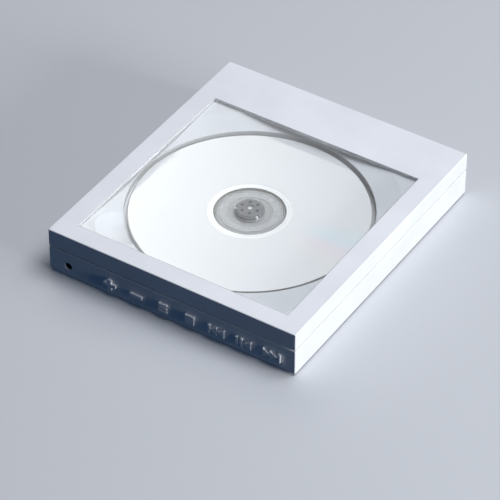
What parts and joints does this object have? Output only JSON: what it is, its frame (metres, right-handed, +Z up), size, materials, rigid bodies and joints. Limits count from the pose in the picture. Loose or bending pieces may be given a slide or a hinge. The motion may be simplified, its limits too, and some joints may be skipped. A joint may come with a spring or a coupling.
{
  "type": "portable optical disc player",
  "caption": "Square portable top-loading disc player: hinged frame lid with a clear window over the disc, icon-shaped buttons and a headphone socket on the front edge.",
  "frame": {"origin": "centre of the case on the plane that the feet rest on; the button caps stand 1.2 mm out of the front face, so the centre of the whole bounding box lies 0.6 mm nearer to the front", "axes": "+X along the button face to the right as seen from it, +Y from the button face to the lid hinge, +Z up"},
  "size_m": [0.141, 0.1614, 0.0254],
  "materials": {
    "white_plastic": "smooth satin white moulded plastic",
    "deck_plastic": "fine matt white moulded plastic",
    "clear_plastic": "polished clear acrylic",
    "disc_plastic": "glossy white print on a clear polycarbonate disc",
    "hub_plastic": "grey moulded plastic, darker on the hub",
    "black_plastic": "black moulded plastic",
    "gear_plastic": "natural acetal",
    "soft_rubber": "soft rubber",
    "pad_rubber": "light grey grip rubber",
    "steel": "plain steel",
    "bright_steel": "polished steel",
    "motor_can": "zinc plated steel",
    "chassis_steel": "dark coated steel plate",
    "circuit_board": "green solder mask",
    "battery_wrap": "shrink film",
    "red_cable": "cable sleeve",
    "flex_film": "polyimide film",
    "laser_brass": "gold plated",
    "lens_glass": "coated lens"
  },
  "bodies": {
    "case": {"base_shell": "white_plastic", "deck": "deck_plastic", "case_screws": "steel", "rubber_feet": "soft_rubber", "hinge_pins": "steel", "deck_magnets": "bright_steel", "lid_rest_pads": "soft_rubber", "lid_sensor": "black_plastic", "main_board": "circuit_board", "board_components": "black_plastic", "board_screws": "steel", "headphone_jack": "black_plastic", "usb_socket": "steel", "charge_board": "circuit_board", "battery": "battery_wrap", "battery_leads": "red_cable", "key_board": "circuit_board", "key_switches": "black_plastic", "key_flex": "flex_film", "pickup_flex": "flex_film", "mechanism_chassis": "chassis_steel", "damper_grommets": "soft_rubber", "grommet_screws": "steel", "spindle_motor": "motor_can", "sled_motor": "motor_can", "motor_screws": "steel", "guide_rods": "bright_steel", "gear_axle": "bright_steel", "limit_switch": "black_plastic"},
    "lid": {"lid_frame": "white_plastic", "window_pane": "clear_plastic", "window_retainer": "deck_plastic", "retainer_screws": "steel", "lid_magnets": "bright_steel"},
    "spindle": {"turntable": "hub_plastic", "turntable_pad": "pad_rubber", "spindle_shaft": "bright_steel", "clamp_balls": "bright_steel", "clamp_springs": "steel", "disc": "disc_plastic"},
    "sled": {"pickup_sled": "black_plastic", "sled_rack": "gear_plastic", "rack_screws": "steel", "focus_magnets": "bright_steel", "laser_diode": "laser_brass"},
    "lens": {"lens_holder": "black_plastic", "objective_lens": "lens_glass"},
    "gear": {"drive_gear": "gear_plastic"},
    "rotor": {"motor_pinion": "gear_plastic", "motor_shaft": "bright_steel"},
    "plus_key": {"button_plus": "white_plastic"},
    "minus_key": {"button_minus": "white_plastic"},
    "menu_key": {"button_menu": "white_plastic"},
    "stop_key": {"button_stop": "white_plastic"},
    "previous_key": {"button_previous": "white_plastic"},
    "play_pause_key": {"button_play_pause": "white_plastic"},
    "next_key": {"button_next": "white_plastic"}
  },
  "joints": [
    {"name": "lid_hinge", "type": "hinge", "parent": "case", "child": "lid", "pos_m": [0, 0.0781, 0.0185], "axis": [-1, 0, 0], "range_deg": [0, 85]},
    {"name": "disc_spin", "type": "hinge", "parent": "case", "child": "spindle", "pos_m": [0, -0.01, 0.0188], "axis": [0, 0, 1], "continuous": true},
    {"name": "sled_slide", "type": "slide", "parent": "case", "child": "sled", "axis": [0, 1, 0], "range_m": [0, 0.0335]},
    {"name": "lens_focus", "type": "slide", "parent": "sled", "child": "lens", "axis": [0, 0, 1], "range_m": [-0.0004, 0.0004]},
    {"name": "drive_gear_spin", "type": "hinge", "parent": "case", "child": "gear", "pos_m": [0.0235, 0.03, 0.0117], "axis": [0, 0, 1], "continuous": true},
    {"name": "sled_motor_spin", "type": "hinge", "parent": "case", "child": "rotor", "pos_m": [0.034, 0.03, 0.0117], "axis": [0, 0, 1], "continuous": true},
    {"name": "plus_press", "type": "slide", "parent": "case", "child": "plus_key", "axis": [0, 1, 0], "range_m": [0, 0.0006], "stiffness_N_per_m": 2500},
    {"name": "minus_press", "type": "slide", "parent": "case", "child": "minus_key", "axis": [0, 1, 0], "range_m": [0, 0.0006], "stiffness_N_per_m": 2500},
    {"name": "menu_press", "type": "slide", "parent": "case", "child": "menu_key", "axis": [0, 1, 0], "range_m": [0, 0.0006], "stiffness_N_per_m": 2500},
    {"name": "stop_press", "type": "slide", "parent": "case", "child": "stop_key", "axis": [0, 1, 0], "range_m": [0, 0.0006], "stiffness_N_per_m": 2500},
    {"name": "previous_press", "type": "slide", "parent": "case", "child": "previous_key", "axis": [0, 1, 0], "range_m": [0, 0.0006], "stiffness_N_per_m": 2500},
    {"name": "play_pause_press", "type": "slide", "parent": "case", "child": "play_pause_key", "axis": [0, 1, 0], "range_m": [0, 0.0006], "stiffness_N_per_m": 2500},
    {"name": "next_press", "type": "slide", "parent": "case", "child": "next_key", "axis": [0, 1, 0], "range_m": [0, 0.0006], "stiffness_N_per_m": 2500}
  ],
  "couplings": [
    {"joint": "drive_gear_spin", "follows": "sled_slide", "rad_per_m": -333.33},
    {"joint": "sled_motor_spin", "follows": "sled_slide", "rad_per_m": 833.33}
  ]
}
